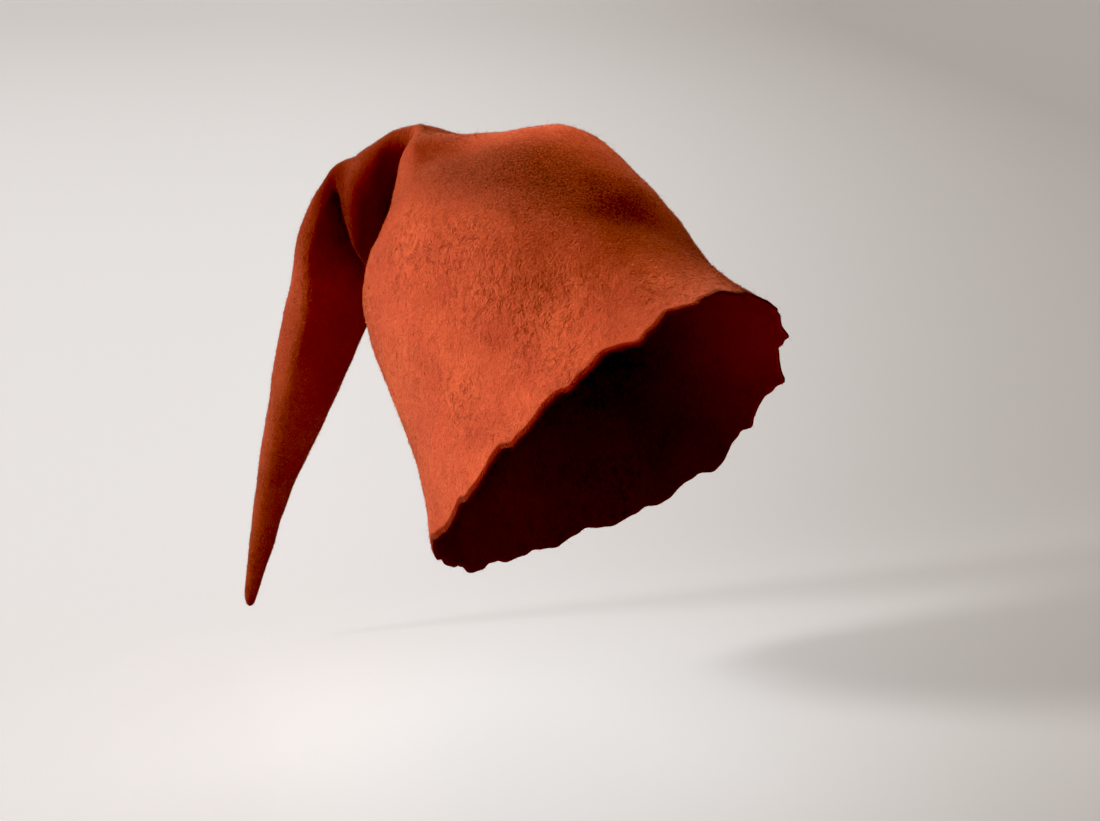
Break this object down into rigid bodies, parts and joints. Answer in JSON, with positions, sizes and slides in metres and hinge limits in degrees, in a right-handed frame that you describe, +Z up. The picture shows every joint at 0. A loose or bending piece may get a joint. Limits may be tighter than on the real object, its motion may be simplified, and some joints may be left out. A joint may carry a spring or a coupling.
{
  "type": "pointed felt hat",
  "caption": "Seamless wool felt hat with a wavy flared rim and a long point that folds over behind the crown and hangs as a tail.",
  "frame": {"origin": "where the inside of the crown rests on top of a head", "axes": "+Z up, -Y the way the wearer faces, +X the wearer's left; the tail hangs behind, on +Y"},
  "size_m": [0.2135, 0.335, 0.3152],
  "materials": {
    "wool_felt": "matt rust-orange wet-felted wool with short fibres standing off the surface"
  },
  "bodies": {
    "root": {"felt_hat": "wool_felt"}
  },
  "joints": []
}
